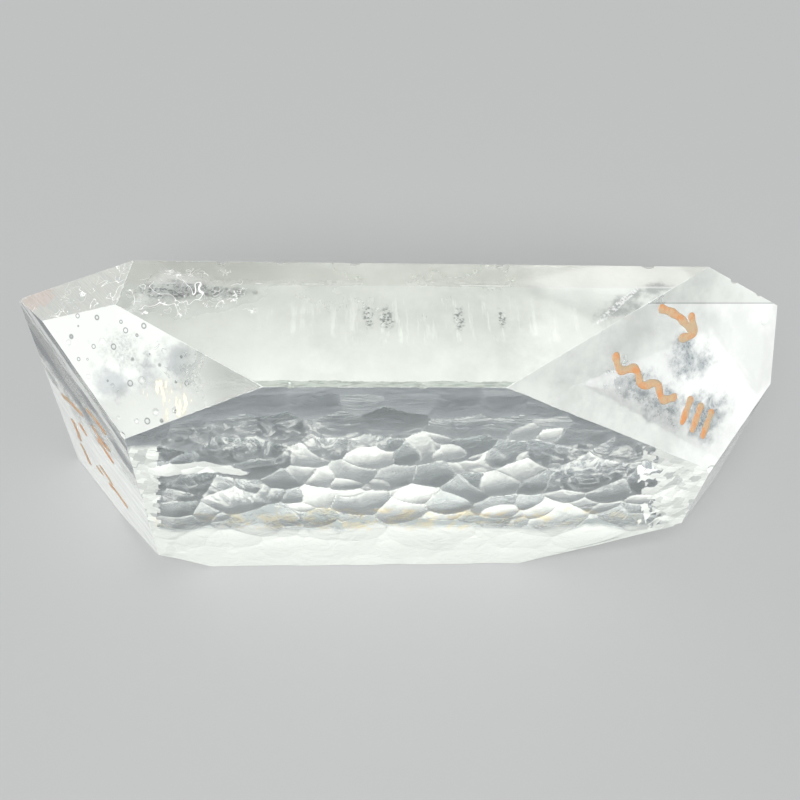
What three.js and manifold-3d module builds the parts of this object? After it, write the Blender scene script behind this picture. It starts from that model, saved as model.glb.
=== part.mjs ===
// A clear bar of quartz, one single crystal, 185 mm long.
//
// The bar stands on its lower side face. Its frame, in millimetres:
//   +X  along the bar, the long direction of growth
//   +Y  from the cobbled growth face back to the flat seed face; the crystal's
//       optic axis, its c axis, points along -Y
//   +Z  up, a twofold axis of the crystal
// The origin is at the middle of the bounding box's bottom.
//
// Every flat face is a plane given the way a crystallographer gives it: the
// azimuth of its normal round the c axis, from +Z and positive towards -X, the
// polar angle of its normal from the c axis, and its distance from the origin.
// Ideal quartz has its rhomb faces at a polar angle of 51.8 degrees and azimuths
// of 30, 90 and 150 degrees, and its prism faces at a polar angle of 90 degrees.
// The growth face across the c axis isn't flat: it is cobbled all over with low
// growth hillocks that meet in sharp valleys.

import * as THREE from "three";
import { mergeVertices } from "three/addons/utils/BufferGeometryUtils.js";
import Module from "manifold-3d";

const degrees = THREE.MathUtils.degToRad;

// ---- driving dimensions, mm and degrees ----------------------------------

const BAR_HEIGHT = 87.7;
const BAR_DEPTH = 34.6; // from the middle of the cobbles to the seed face
const BAR_REACH = 400; // wider than the bar: the size of the blocks that cut it
const SAME_POINT = 1e-5; // corners nearer than this are one corner

const FACES = [
  { name: "top side", azimuth: 0, polar: 90, distance: BAR_HEIGHT },
  { name: "bottom side", azimuth: 180, polar: 90, distance: 0 },
  { name: "seed face", azimuth: 0, polar: 180, distance: BAR_DEPTH / 2 },
  { name: "upper left rhomb", azimuth: 32.5, polar: 51, distance: 81.7 },
  { name: "upper right rhomb", azimuth: -32.5, polar: 51.5, distance: 76.8 },
  { name: "left rhomb", azimuth: 89, polar: 51.5, distance: 61.6, ledges: true },
  { name: "right rhomb", azimuth: -88, polar: 49.5, distance: 69.7, ledges: true },
  { name: "lower left rhomb", azimuth: 150, polar: 51.8, distance: 31.0 },
  { name: "lower right rhomb", azimuth: -150, polar: 51.8, distance: 24.8 },
  { name: "upper left prism", azimuth: 26, polar: 94.5, distance: 107.2 },
  { name: "right prism", azimuth: -90.5, polar: 89, distance: 91.5 },
  { name: "left prism", azimuth: 90, polar: 90, distance: 92.5 },
];

// The cobbled face is a field of hillocks laid in staggered rows. Each one is a
// shallow dome that leans a little, and the highest dome at a point is the
// surface there, so neighbours meet in straight, sharp valleys.
const COBBLES = {
  left: -74, // where the rows of dome centres start and end
  right: 86,
  bottom: -7,
  top: 95,
  margin: 26, // how far the outermost domes run on past the rows' ends
  tileRows: 2, // the rows under the top edge are squarer and flatter
  rows: 10,
  tilePitch: 10.4, // along the row, mm
  pitch: 11.8,
  wander: 2.8, // how far a dome's centre strays, mm
  domeRadius: 30, // radius of curvature, mm
  lean: 0.1, // slope of a leaning dome, rise over run
  rise: 0.45, // how much dome heights differ, mm
};

// The left and right rhombs are stepped by fine level growth ledges, each one a
// long shallow slope and a sharp drop.
const LEDGES = {
  bottom: -6,
  top: 96,
  pitch: 3.2,
  rise: 0.24, // the drop at a ledge, mm
  vary: 0.5, // by what share pitch and drop differ from ledge to ledge
};

// Round etch pits on the upper left rhomb: place along X, height Z, and radius.
const PITS = [
  [-76.5, 77.6, 0.9],
  [-68.2, 80.8, 1.1],
  [-63.6, 80.2, 0.8],
  [-59.1, 78.3, 1.2],
  [-78.6, 73.4, 1.1],
  [-71.9, 74.0, 0.8],
  [-66.1, 74.8, 0.7],
  [-56.0, 74.6, 1.1],
  [-73.6, 69.8, 1.1],
  [-60.6, 71.4, 0.8],
  [-51.6, 76.6, 0.9],
  [-65.0, 70.2, 0.6],
];
const PIT_SINK = 0.55; // a pit is a ball sunk by this share of its radius

// Small shells broken out of the sharp edges: the point on the edge, the size.
const CHIPS = [
  { at: [-42.0, 17.3, 87.7], size: 1.5 },
  { at: [-29.5, 17.3, 87.7], size: 1.1 },
  { at: [-12.0, 17.3, 87.7], size: 1.6 },
  { at: [21.0, 17.3, 87.7], size: 1.2 },
  { at: [55.5, 17.3, 87.7], size: 1.4 },
  { at: [78.5, 17.3, 82.7], size: 2.4 },
  { at: [86.0, 17.3, 77.9], size: 1.6 },
  { at: [-26.0, -17.3, 87.7], size: 1.5 },
  { at: [1.5, -17.3, 87.7], size: 1.2 },
  { at: [75.4, -17.3, 52.2], size: 1.8 },
  { at: [76.0, -17.3, 23.2], size: 1.7 },
  { at: [-64.0, -17.3, 67.4], size: 1.3 },
  { at: [-91.4, 17.3, 73.5], size: 1.6 },
];
const CHIP_SINK = 0.7; // how far a chip's ball stands off the edge, of its size
const CHIP_STRETCH = 1.5; // chips run this much further along than across
const ENDWISE = 0.35; // how much a chip's direction follows the bar's length

// ---- small helpers ---------------------------------------------------------

const wasm = await Module();
wasm.setup();

// A repeatable number from 0 to 1 for a whole number.
function chance(index) {
  const wave = Math.sin(index * 12.9898 + 78.233) * 43758.5453;
  return wave - Math.floor(wave);
}

// The outward unit normal of a face from its two crystal angles.
function faceNormal({ azimuth, polar }) {
  const across = Math.sin(degrees(polar));
  return new THREE.Vector3(
    -across * Math.sin(degrees(azimuth)),
    -Math.cos(degrees(polar)),
    across * Math.cos(degrees(azimuth)),
  );
}

// A closed three.js geometry as a manifold solid.
function solid(geometry) {
  const bare = geometry.clone();
  bare.deleteAttribute("normal");
  bare.deleteAttribute("uv");
  const merged = mergeVertices(bare, SAME_POINT);
  return new wasm.Manifold(new wasm.Mesh({
    numProp: 3,
    vertProperties: Float32Array.from(merged.attributes.position.array),
    triVerts: Uint32Array.from(merged.index.array),
  }));
}

// A manifold solid as a three.js geometry.
function geometryOf(manifold) {
  const mesh = manifold.getMesh();
  const geometry = new THREE.BufferGeometry();
  const places = new THREE.BufferAttribute(mesh.vertProperties, mesh.numProp);
  geometry.setAttribute("position", places);
  geometry.setIndex(new THREE.BufferAttribute(mesh.triVerts, 1));
  return geometry;
}

// ---- the flat faces ----------------------------------------------------------

// The block of everything behind one face: a big cube with one side on it.
function behindFace(face) {
  const normal = faceNormal(face);
  const cube = new THREE.BoxGeometry(BAR_REACH, BAR_REACH, BAR_REACH);
  const turn = new THREE.Quaternion();
  turn.setFromUnitVectors(new THREE.Vector3(0, 0, 1), normal);
  const middle = normal.clone().multiplyScalar(face.distance - BAR_REACH / 2);
  cube.applyQuaternion(turn);
  cube.translate(middle.x, middle.y, middle.z);
  return solid(cube);
}

// The same block with a stepped front. Its section is drawn with x up the face
// and y out of it, and it is drawn out level, along the ledges.
function behindLedges(face, index) {
  const { bottom, top, pitch, rise, vary } = LEDGES;
  const normal = faceNormal(face);
  const level = new THREE.Vector3(0, 0, 1).cross(normal).normalize();
  const upFace = normal.clone().cross(level);
  const section = new THREE.Shape();
  section.moveTo(-BAR_REACH / 2, face.distance - BAR_REACH);
  section.lineTo(-BAR_REACH / 2, face.distance);
  section.lineTo(bottom, face.distance);
  let x = bottom;
  for (let step = 0; x < top; step += 1) {
    const seed = 1000 * (index + 1) + step * 2;
    const drop = rise * (1 - vary * chance(seed));
    section.lineTo(x, face.distance - drop);
    x += pitch * (1 - vary * chance(seed + 1));
    section.lineTo(x, face.distance);
  }
  section.lineTo(BAR_REACH / 2, face.distance);
  section.lineTo(BAR_REACH / 2, face.distance - BAR_REACH);
  const block = new THREE.ExtrudeGeometry(section, {
    depth: BAR_REACH,
    bevelEnabled: false,
  });
  block.translate(0, 0, -BAR_REACH / 2);
  const along = upFace.clone().cross(normal);
  block.applyMatrix4(new THREE.Matrix4().makeBasis(upFace, normal, along));
  return solid(block);
}

// ---- the cobbled face ----------------------------------------------------------

// The dome list. A dome's height over the plane of the face is
//   base + leanX * x + leanZ * z - (x^2 + z^2) / (2 * domeRadius)
// which is its own leaning top written out for the whole plane.
function domes() {
  const { left, right, bottom, top, rows, tileRows, domeRadius } = COBBLES;
  const list = [];
  const rowHeight = (top - bottom) / rows;
  for (let row = 0; row < rows; row += 1) {
    const tile = row < tileRows;
    const pitch = tile ? COBBLES.tilePitch : COBBLES.pitch;
    const calm = tile ? 0.35 : 1;
    const shift = tile || row % 2 === 0 ? 0 : pitch / 2;
    for (let x = left + shift; x <= right; x += pitch) {
      const seed = list.length * 5;
      const cx = x + (chance(seed) - 0.5) * 2 * COBBLES.wander * calm;
      const middle = top - (row + 0.5) * rowHeight;
      const cz = middle + (chance(seed + 1) - 0.5) * 2 * COBBLES.wander * calm;
      const leanX = (chance(seed + 2) - 0.5) * 2 * COBBLES.lean * calm;
      const leanZ = (chance(seed + 3) - 0.5) * 2 * COBBLES.lean * calm;
      const height = (chance(seed + 4) - 0.5) * 2 * COBBLES.rise * calm;
      const slopeX = leanX + cx / domeRadius;
      const slopeZ = leanZ + cz / domeRadius;
      const round = (cx * cx + cz * cz) / (2 * domeRadius);
      const base = height - leanX * cx - leanZ * cz - round;
      list.push({ cx, cz, slopeX, slopeZ, base });
    }
  }
  return list;
}

function domeHeight(dome, x, z) {
  const round = (x * x + z * z) / (2 * COBBLES.domeRadius);
  return dome.base + dome.slopeX * x + dome.slopeZ * z - round;
}

// The part of a polygon where one dome is higher than another. Both have the
// same roundness, so the border between them is a straight line.
function keepHigher(polygon, dome, other) {
  const lead = ([x, z]) =>
    dome.base - other.base +
    (dome.slopeX - other.slopeX) * x +
    (dome.slopeZ - other.slopeZ) * z;
  const kept = [];
  polygon.forEach((here, i) => {
    const next = polygon[(i + 1) % polygon.length];
    const a = lead(here);
    const b = lead(next);
    if (a >= 0) kept.push(here);
    if (a * b < 0) {
      const t = a / (a - b);
      const x = here[0] + (next[0] - here[0]) * t;
      const z = here[1] + (next[1] - here[1]) * t;
      kept.push([x, z]);
    }
  });
  return kept;
}

// The cobbled layer as a closed body: the domed front, straight sides and a flat
// back well behind the seed face. Each dome's outline is cut by its neighbours,
// then filled with a ring of triangles round its middle.
function cobbledBody() {
  const { bottom, top, margin } = COBBLES;
  const left = COBBLES.left - margin;
  const right = COBBLES.right + margin;
  const frame = [[left, bottom], [right, bottom], [right, top], [left, top]];
  const list = domes();
  const front = -BAR_DEPTH / 2;
  const back = BAR_DEPTH;
  const places = [];
  const at = (x, y, z) => new THREE.Vector3(x, y, z);
  const triangle = (a, b, c) => {
    places.push(a.x, a.y, a.z, b.x, b.y, b.z, c.x, c.y, c.z);
  };
  const middleBack = at((left + right) / 2, back, (bottom + top) / 2);
  const onFrame = (p, q) =>
    [[0, left], [0, right], [1, bottom], [1, top]].some(
      ([axis, edge]) =>
        Math.abs(p[axis] - edge) < SAME_POINT &&
        Math.abs(q[axis] - edge) < SAME_POINT,
    );
  for (const dome of list) {
    let outline = frame;
    for (const other of list) {
      if (other !== dome) outline = keepHigher(outline, dome, other);
    }
    if (outline.length < 3) continue;
    const rim = outline.flatMap((corner, i) => {
      const next = outline[(i + 1) % outline.length];
      return [corner, [(corner[0] + next[0]) / 2, (corner[1] + next[1]) / 2]];
    });
    const onDome = ([x, z]) => at(x, front - domeHeight(dome, x, z), z);
    const sum = outline.reduce((s, [x, z]) => [s[0] + x, s[1] + z], [0, 0]);
    const heart = [sum[0] / outline.length, sum[1] / outline.length];
    const inward = ([x, z]) => [(x + heart[0]) / 2, (z + heart[1]) / 2];
    rim.forEach((p, i) => {
      const q = rim[(i + 1) % rim.length];
      triangle(onDome(heart), onDome(inward(p)), onDome(inward(q)));
      triangle(onDome(inward(p)), onDome(p), onDome(q));
      triangle(onDome(inward(p)), onDome(q), onDome(inward(q)));
      if (onFrame(p, q)) {
        const behindP = at(p[0], back, p[1]);
        const behindQ = at(q[0], back, q[1]);
        triangle(onDome(q), onDome(p), behindP);
        triangle(onDome(q), behindP, behindQ);
        triangle(behindQ, behindP, middleBack);
      }
    });
  }
  const geometry = new THREE.BufferGeometry();
  const numbers = new THREE.Float32BufferAttribute(places, 3);
  geometry.setAttribute("position", numbers);
  return solid(geometry);
}

// ---- pits and chips --------------------------------------------------------------

// A ball that bites a round pit into the upper left rhomb at x, z.
function pit([x, z, radius]) {
  const rhomb = FACES.find(({ name }) => name === "upper left rhomb");
  const normal = faceNormal(rhomb);
  const y = (rhomb.distance - normal.x * x - normal.z * z) / normal.y;
  const middle = new THREE.Vector3(x, y, z);
  middle.addScaledVector(normal, radius * PIT_SINK);
  const ball = new THREE.IcosahedronGeometry(radius, 1);
  ball.translate(middle.x, middle.y, middle.z);
  return solid(ball);
}

// A coarse ball set just outside an edge, so that it bites a small shell from it.
function chip({ at, size }, index) {
  const edge = new THREE.Vector3(...at);
  const heart = new THREE.Vector3(0, 0, BAR_HEIGHT / 2);
  const away = edge.clone().sub(heart);
  away.x *= ENDWISE;
  away.normalize();
  edge.addScaledVector(away, size * CHIP_SINK);
  const ball = new THREE.IcosahedronGeometry(size, 0);
  ball.scale(CHIP_STRETCH, 1, 1);
  ball.rotateY(chance(index + 500) * Math.PI);
  ball.translate(edge.x, edge.y, edge.z);
  return solid(ball);
}

// ---- the crystal ---------------------------------------------------------------

function crystal() {
  let body = cobbledBody();
  FACES.forEach((face, index) => {
    const block = face.ledges ? behindLedges(face, index) : behindFace(face);
    body = body.intersect(block);
  });
  for (const one of PITS) body = body.subtract(pit(one));
  CHIPS.forEach((one, index) => {
    body = body.subtract(chip(one, index));
  });
  const clearQuartz = new THREE.MeshStandardMaterial({
    color: 0xe9eef0,
    roughness: 0.05,
    metalness: 0,
    transparent: true,
    opacity: 0.4,
  });
  clearQuartz.name = "clear quartz";
  const mesh = new THREE.Mesh(geometryOf(body), clearQuartz);
  mesh.name = "quartz_crystal";
  return mesh;
}

const quartz = new THREE.Group();
quartz.name = "quartz";
quartz.add(crystal());

export default quartz;
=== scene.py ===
"""A grown quartz bar on a pale studio floor.

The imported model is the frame. This file builds the crystal's fine surface over it, gives each kind of
face its own finish, draws orange pen marks on it, and sets the floor, the light and the camera. It is laid
out as an add-on: sizes and colours are properties, each piece has an operator, and a panel lists them.
"""

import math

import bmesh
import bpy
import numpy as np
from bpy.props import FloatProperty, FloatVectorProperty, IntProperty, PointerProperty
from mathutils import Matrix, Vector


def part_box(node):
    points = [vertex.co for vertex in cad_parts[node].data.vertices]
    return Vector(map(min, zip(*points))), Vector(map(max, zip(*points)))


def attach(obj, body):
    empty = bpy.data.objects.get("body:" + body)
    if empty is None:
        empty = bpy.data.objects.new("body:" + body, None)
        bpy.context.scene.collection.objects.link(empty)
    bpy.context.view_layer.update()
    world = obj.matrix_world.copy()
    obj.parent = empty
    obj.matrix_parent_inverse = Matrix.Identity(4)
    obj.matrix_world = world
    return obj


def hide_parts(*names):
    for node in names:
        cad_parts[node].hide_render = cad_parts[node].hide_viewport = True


bl_info = {
    "name": "Grown quartz bar",
    "version": (1, 0, 0),
    "blender": (4, 5, 0),
    "location": "View3D > Sidebar > Quartz",
    "description": "Builds a clear quartz bar with its finishes, pen marks and studio",
    "category": "Add Mesh",
}

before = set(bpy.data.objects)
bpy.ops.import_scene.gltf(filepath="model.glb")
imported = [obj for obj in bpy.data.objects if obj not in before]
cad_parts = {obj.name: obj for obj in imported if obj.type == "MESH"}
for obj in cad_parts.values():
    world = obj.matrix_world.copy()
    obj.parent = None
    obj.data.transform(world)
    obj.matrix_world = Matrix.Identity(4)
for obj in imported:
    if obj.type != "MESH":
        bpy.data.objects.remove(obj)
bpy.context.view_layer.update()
NODE = "quartz_crystal"
NODE_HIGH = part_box(NODE)[1]

MM = 0.001
PER_METRE = 1000.0
SENSOR = 36.0  # width of the camera's sensor, mm
QUARTZ_IOR = 1.544
SMOOTH = {"interpolation_type": "SMOOTHSTEP"}
ALONG_X, ALONG_Y, ALONG_Z = (1, 0, 0), (0, 1, 0), (0, 0, 1)

# The crystal's flat faces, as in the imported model: the azimuth of the normal round the optic axis, from +Z
# and positive towards -X, its polar angle from that axis, which points along -Y, in degrees, and its
# distance from the origin in mm.
SEED_DISTANCE = NODE_HIGH.y / MM
TOP_DISTANCE = NODE_HIGH.z / MM
FACES = {
    "top_side": (0, 90, TOP_DISTANCE),
    "bottom_side": (180, 90, 0),
    "seed": (0, 180, SEED_DISTANCE),
    "upper_left_rhomb": (32.5, 51, 81.7),
    "upper_right_rhomb": (-32.5, 51.5, 76.8),
    "lower_left_rhomb": (150, 51.8, 31.0),
    "lower_right_rhomb": (-150, 51.8, 24.8),
    "upper_left_prism": (26, 94.5, 107.2),
    "right_prism": (-90.5, 89, 91.5),
    "left_prism": (90, 90, 92.5),
}

# The faces with growth ledges: the same, and a number that starts each one's chances.
STEPPED_FACES = {
    "left_rhomb": (89, 51.5, 61.6, 5),
    "right_rhomb": (-88, 49.5, 69.7, 6),
}

# Where spots on the cobbled face and the top side lie, and how deep they reach, in mm.
FRONT, FRONT_REACH, RING_REACH = -17, 9, 20
TOP, TOP_REACH = 87.7, 5

# Oval growth lines on the cobbled face: middle x and z, reach along x and z, how many, and their strength,
# which is 1 for the first.
GROWTH_LINES = [
    (45.5, 47.8, 10, 8, 3.2, 1.0), (-50, 66, 9, 6, 2.2, 0.5), (-36, 59, 10, 7, 2.4, 0.6),
    (-25, 70, 8, 5, 2.2, 0.5), (52, 62, 9, 5, 2.0, 0.5),
]

WEAR_AND_HIGHLIGHT_LEAST, WEAR_AND_HIGHLIGHT_EXTRA = 0.04, 0.26  # width of a bruised edge with its painted highlight, and how much more the grain adds, mm

TURN_WEIGHT = 6  # mm of distance that a polygon's full misfit in direction to a face counts for

# Round pits in the upper left rhomb: x, z and radius in mm.
PITS = [
    (-76.5, 77.6, 0.9), (-68.2, 80.8, 1.1), (-63.6, 80.2, 0.8), (-59.1, 78.3, 1.2), (-78.6, 73.4, 1.1),
    (-71.9, 74.0, 0.8), (-66.1, 74.8, 0.7), (-56.0, 74.6, 1.1), (-73.6, 69.8, 1.1), (-60.6, 71.4, 0.8),
    (-51.6, 76.6, 0.9), (-65.0, 70.2, 0.6),
]
PIT_SINK = 0.55  # a pit is a ball sunk by this share of its radius

# Small shells broken out of the sharp edges, and one out of a face: the point on it, and the size, in mm.
CHIPS = [
    ((-42.0, 17.3, 87.7), 1.5), ((-29.5, 17.3, 87.7), 1.1), ((-12.0, 17.3, 87.7), 1.6),
    ((21.0, 17.3, 87.7), 1.2), ((55.5, 17.3, 87.7), 1.4), ((78.5, 17.3, 82.7), 1.3),
    ((86.0, 17.3, 77.9), 1.1), ((-26.0, -17.3, 87.7), 1.5), ((1.5, -17.3, 87.7), 1.2),
    ((75.4, -17.3, 52.2), 1.8), ((76.0, -17.3, 23.2), 1.7), ((-64.0, -17.3, 67.4), 1.3),
    ((-91.4, 17.3, 73.5), 1.6), ((88.3, 12.9, 72.3), 1.2),
]
CHIP_SINK = 0.7  # how far a chip's ball stands off the edge, of its size
CHIP_STRETCH = 1.5  # chips run this much further along than across
ENDWISE = 0.35  # how much a chip's direction follows the bar's length

TILE_CALM = 0.35  # share of the chances that the squarer rows under the top edge keep

# One broad swirl on the cobbled face: middle x and z, height, no lean, and radius, in mm.
SWIRL = (45.5, 47.8, 1.1, 0.0, 0.0, 34.0)

# Pale parts of the cobbled face: middle x and z, reach along x and z, and how much they scatter.
PALE_PARTS = [
    (-21.5, 54.0, 5.0, 4.5, 0.8), (-11.0, 53.5, 9.0, 6.0, 0.5), (9.0, 61.0, 9.0, 7.0, 0.5),
    (20.0, 68.5, 9.0, 4.0, 0.6), (33.0, 69.5, 4.5, 4.0, 0.6), (10.0, 52.0, 34.0, 10.0, 0.48),
    (-12.0, 38.5, 17.0, 5.5, 0.95), (11.0, 37.0, 14.0, 5.0, 0.7), (0.0, 32.0, 60.0, 7.0, 0.55),
    (40.0, 33.0, 22.0, 6.0, 0.6),
]


def wave(start, length, height, crests):
    """A pen stroke as a sine wave: places along and up, in mm."""
    along = np.linspace(0, 1, crests * 8 + 1)
    return np.stack([start + along * length, height * np.cos(along * crests * 2 * np.pi)], -1)


# The pen's bead: spacing of its sections and its least half-width in mm, and how much, as a share, and how
# fast, in radians a mm, its width wavers.
BEAD_STEP, LEAST_HALF, WAVER, WAVER_PACE = 0.25, 0.02, 0.12, 1.7

# Pen marks: the face, where the line starts (x, z), which way it runs, and its strokes, in mm along and up.
INK_GROUPS = {
    "ink_arrow": ("upper_right_rhomb", (57.0, 86.0), (16, -3, -10), [
        [(0, 0), (6, 1), (13, 0)], [(9.5, 3.5), (13, 0), (9.5, -3.5)]]),
    "ink_ripple": ("upper_right_rhomb", (45.0, 82.5), (35, -5, -27), [
        wave(0, 23, 1.1, 3), [(27, 3.6), (28, -3.6)], [(31, 3.8), (32, -3.8)], [(35, 4), (36, -3.6)]]),
    "ink_tally": ("left_rhomb", (-85.0, 46.0), (0, 0, -1), [
        [(3.7, -3.3), (1.2, 1.5), (0, 6), (-1.3, 8.4)], [(13.6, -2.2), (19, -1.2), (23.8, -2)],
        [(26, -2.2), (31, -1), (35, -0.7)], [(-9.1, 13.1), (-9.6, 18), (-8.4, 22)],
        [(-2, 13), (1, 17), (0, 21)], [(3, 14), (5, 17.5), (6.7, 20.7)], [(28.3, 5), (29, 8.5)],
        [(30, 11), (29, 15.5), (30.6, 20.4)], [(24, 8), (25.5, 12), (27, 14)], [(9, 3), (12, 6)]]),
}


def colour(code, alpha=1.0):
    """The linear colour of an sRGB hex code such as '#aabbcc'."""
    parts = [int(code[i:i + 2], 16) / 255 for i in (1, 3, 5)]
    linear = [c / 12.92 if c <= 0.04045 else ((c + 0.055) / 1.055) ** 2.4 for c in parts]
    return (*linear, alpha)


def chance(index):
    """A repeatable number from 0 to 1 for a whole number or an array of them."""
    swing = np.sin(np.asarray(index, float) * 12.9898 + 78.233) * 43758.5453
    return swing - np.floor(swing)


def face_normal(azimuth, polar):
    """The outward unit normal for two crystal angles in degrees."""
    turn, tip = math.radians(azimuth), math.radians(polar)
    return Vector((-math.sin(tip) * math.sin(turn), -math.cos(tip), math.sin(tip) * math.cos(turn)))


def planes():
    """The outward normal and the distance of every face, with the plane that the cobbles stand on."""
    table = {**FACES, **STEPPED_FACES, "cobbled": (0, 0, SEED_DISTANCE)}
    return {name: (face_normal(*values[:2]), values[2]) for name, values in table.items()}


# ---- shapes ------------------------------------------------------------------


def dome_list(cobbles):
    """The growth hillocks of the cobbled face: rows of shallow leaning domes, in mm.

    Each row holds one dome per pitch, shifted half a pitch on every second row, and each dome strays by its
    own chances. The columns returned are middle x and z, height, lean along x and z, and radius.
    """
    rows = []
    row_height = (cobbles.top - cobbles.bottom) / cobbles.rows
    for row in range(cobbles.rows):
        tile = row < cobbles.tile_rows
        pitch = cobbles.tile_pitch if tile else cobbles.pitch
        calm = TILE_CALM if tile else 1.0
        x = cobbles.left + (0.0 if tile or row % 2 == 0 else pitch / 2)
        while x <= cobbles.right:
            luck = (chance(len(rows) * 5 + np.arange(5)) - 0.5) * 2 * calm
            middle = cobbles.top - (row + 0.5) * row_height
            lean = cobbles.lean * (1 + cobbles.steepen * max(0.0, 1 - middle / cobbles.steep_top))
            rows.append((x + luck[0] * cobbles.wander, middle + luck[1] * cobbles.wander,
                         luck[4] * cobbles.rise, luck[2] * lean, luck[3] * lean, cobbles.radius))
            x += pitch
    return np.array(rows)


def tallest(x, z, forms):
    """The height of the highest form at arrays of x and z in mm, its lead over the next, and its number.

    A form's height is height + lean_x dx + lean_z dz - (dx^2 + dz^2) / (2 radius).
    """
    high = np.full(x.shape, -1e9)
    second = high.copy()
    owner = np.zeros(x.shape, int)
    for number, (cx, cz, height, lean_x, lean_z, radius) in enumerate(forms):
        dx, dz = x - cx, z - cz
        form = height + lean_x * dx + lean_z * dz - (dx * dx + dz * dz) / (2 * radius)
        owner = np.where(form > high, number, owner)
        second = np.maximum(second, np.minimum(high, form))
        high = np.maximum(high, form)
    return high, high - second, owner


def cobble_forms(cobbles):
    """Every form of the cobbled face as middle x and z, height, lean along x and z, and radius, in mm.

    They are the domes, the small hillocks that stand a little above them, and one broad swirl. Hillocks
    stand higher and lean more towards the foot.
    """
    domes = dome_list(cobbles)
    luck = chance(7000 + np.arange(cobbles.hillocks * 6)).reshape(-1, 6)
    x = cobbles.left + luck[:, 0] * (cobbles.right - cobbles.left)
    z = luck[:, 1]**cobbles.hillock_crowd * cobbles.hillock_top
    low = 1 - z / cobbles.hillock_top
    poke = cobbles.hillock_poke * (luck[:, 3] * (0.45 + low) - 0.3)
    lean = cobbles.hillock_lean * (0.3 + 0.7 * low)
    radius = cobbles.hillock_radius * (0.6 + 0.8 * luck[:, 2])
    height = tallest(x, z, domes)[0] + poke
    lean_x, lean_z = (2 * luck[:, 4] - 1) * lean, (2 * luck[:, 5] - 1) * lean
    hillocks = np.stack([x, z, height, lean_x, lean_z, radius], -1)
    return np.concatenate([domes, hillocks, [SWIRL]])


def inner_share(x, z, reach, foot):
    """A smooth share at arrays of x and z in mm: 0 at the cobbled face's rim, and 1 from the reach inwards.

    Above the underside the foot takes the reach's place. The share is 3 s^2 - 2 s^3, where s is the gap
    over the reach.
    """
    share = np.ones(x.shape)
    for name, (normal, distance) in planes().items():
        across = math.hypot(normal.x, normal.z)
        if name != "cobbled" and normal.y < 0.5 and across > 0.1:
            gap = (distance + normal.y * SEED_DISTANCE - normal.x * x - normal.z * z) / across
            share = np.minimum(share, np.clip(gap / (foot if name == "bottom_side" else reach), 0, 1))
    return share * share * (3 - 2 * share)


def cobble_relief(x, z, cobbles):
    """The cobbled face's relief at arrays of x and z in mm, the form's lead over the next, and its number.

    A narrow groove runs where two forms meet: it is deepest where the highest two are level. The relief is
    calm at the rim, and further in it is set back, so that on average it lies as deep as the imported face.
    """
    high, lead, owner = tallest(x, z, cobble_forms(cobbles))
    groove = cobbles.groove * np.exp(-(lead / cobbles.groove_width)**2)
    inner = inner_share(x, z, cobbles.calm_reach, cobbles.calm_foot)
    calm = cobbles.calm_least + (1 - cobbles.calm_least) * inner
    set_back = cobbles.set_back * inner_share(x, z, cobbles.set_back_reach, cobbles.set_back_reach)
    return (high - groove) * calm - set_back, lead, owner


def cobble_tones(owner, cobbles):
    """How much each form scatters: a chance of its own, and more within the pale parts of the face.

    The domes above the hillocks scatter least. A pale part counts fully at its middle, and fades with
    exp(-(dx / reach_x)^2 - (dz / reach_z)^2).
    """
    forms = cobble_forms(cobbles)
    number = np.arange(len(forms))
    tone = chance(300 + number * 3)**3 * np.where(forms[:, 1] > cobbles.hillock_top, 0.1, 0.16)
    share = 0.15 + 1.05 * chance(650 + number * 7)
    for x, z, reach_x, reach_z, most in PALE_PARTS:
        near = np.exp(-((forms[:, 0] - x) / reach_x)**2 - ((forms[:, 1] - z) / reach_z)**2)
        tone = np.maximum(tone, near * most * share)
    tone[-1] = cobbles.swirl_tone
    return tone[owner]


def new_mesh(name, vertices, faces):
    """A mesh from an array of places in mm and a list of faces."""
    mesh = bpy.data.meshes.new(name)
    mesh.from_pydata((np.asarray(vertices) * MM).tolist(), [], faces)
    mesh.update()
    return mesh


def link(name, mesh):
    """A scene object for a mesh."""
    piece = bpy.data.objects.new(name, mesh)
    bpy.context.scene.collection.objects.link(piece)
    return piece


def triples(items, key):
    """One vector property of all of a mesh's vertices or polygons, as an array with a row for each."""
    values = np.empty(len(items) * 3, np.float32)
    items.foreach_get(key, values)
    return values.reshape(-1, 3)


def cobbled_block(crystal, cobbles):
    """A closed slab whose front is the cobbled face and whose back lies behind the seed face.

    The front is the surface y = -depth / 2 - height(x, z) over a grid of x and z, and the back is the same
    grid, flat.
    """
    fine = crystal.grid
    side = np.array([0.0, 0.5, 1.0]) * cobbles.margin
    x = np.concatenate([
        crystal.fine_left - side[:0:-1],
        np.arange(crystal.fine_left, crystal.fine_right, fine),
        crystal.fine_right + side,
    ])
    z = np.arange(cobbles.bottom, cobbles.top + fine, fine)
    grid_x, grid_z = np.meshgrid(x, z)
    front_y = -SEED_DISTANCE - cobble_relief(grid_x, grid_z, cobbles)[0]
    back_y = np.full(grid_x.shape, SEED_DISTANCE * 2)
    sheet = [np.stack([grid_x, y, grid_z], -1).reshape(-1, 3) for y in (front_y, back_y)]
    high, wide = grid_x.shape
    index = np.arange(high * wide).reshape(high, wide)
    a, b, c, d = index[:-1, :-1], index[:-1, 1:], index[1:, 1:], index[1:, :-1]
    front = np.stack([a, b, c, d], -1).reshape(-1, 4)
    back = front[:, ::-1] + high * wide
    rim = np.concatenate([index[0, :], index[1:, -1], index[-1, -2::-1], index[-2:0:-1, 0]])
    following = np.roll(rim, -1)
    wall = np.stack([rim, rim + high * wide, following + high * wide, following], -1)
    faces = np.concatenate([front, back, wall])
    return new_mesh("cobbled_block", np.concatenate(sheet), faces.tolist())


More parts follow.
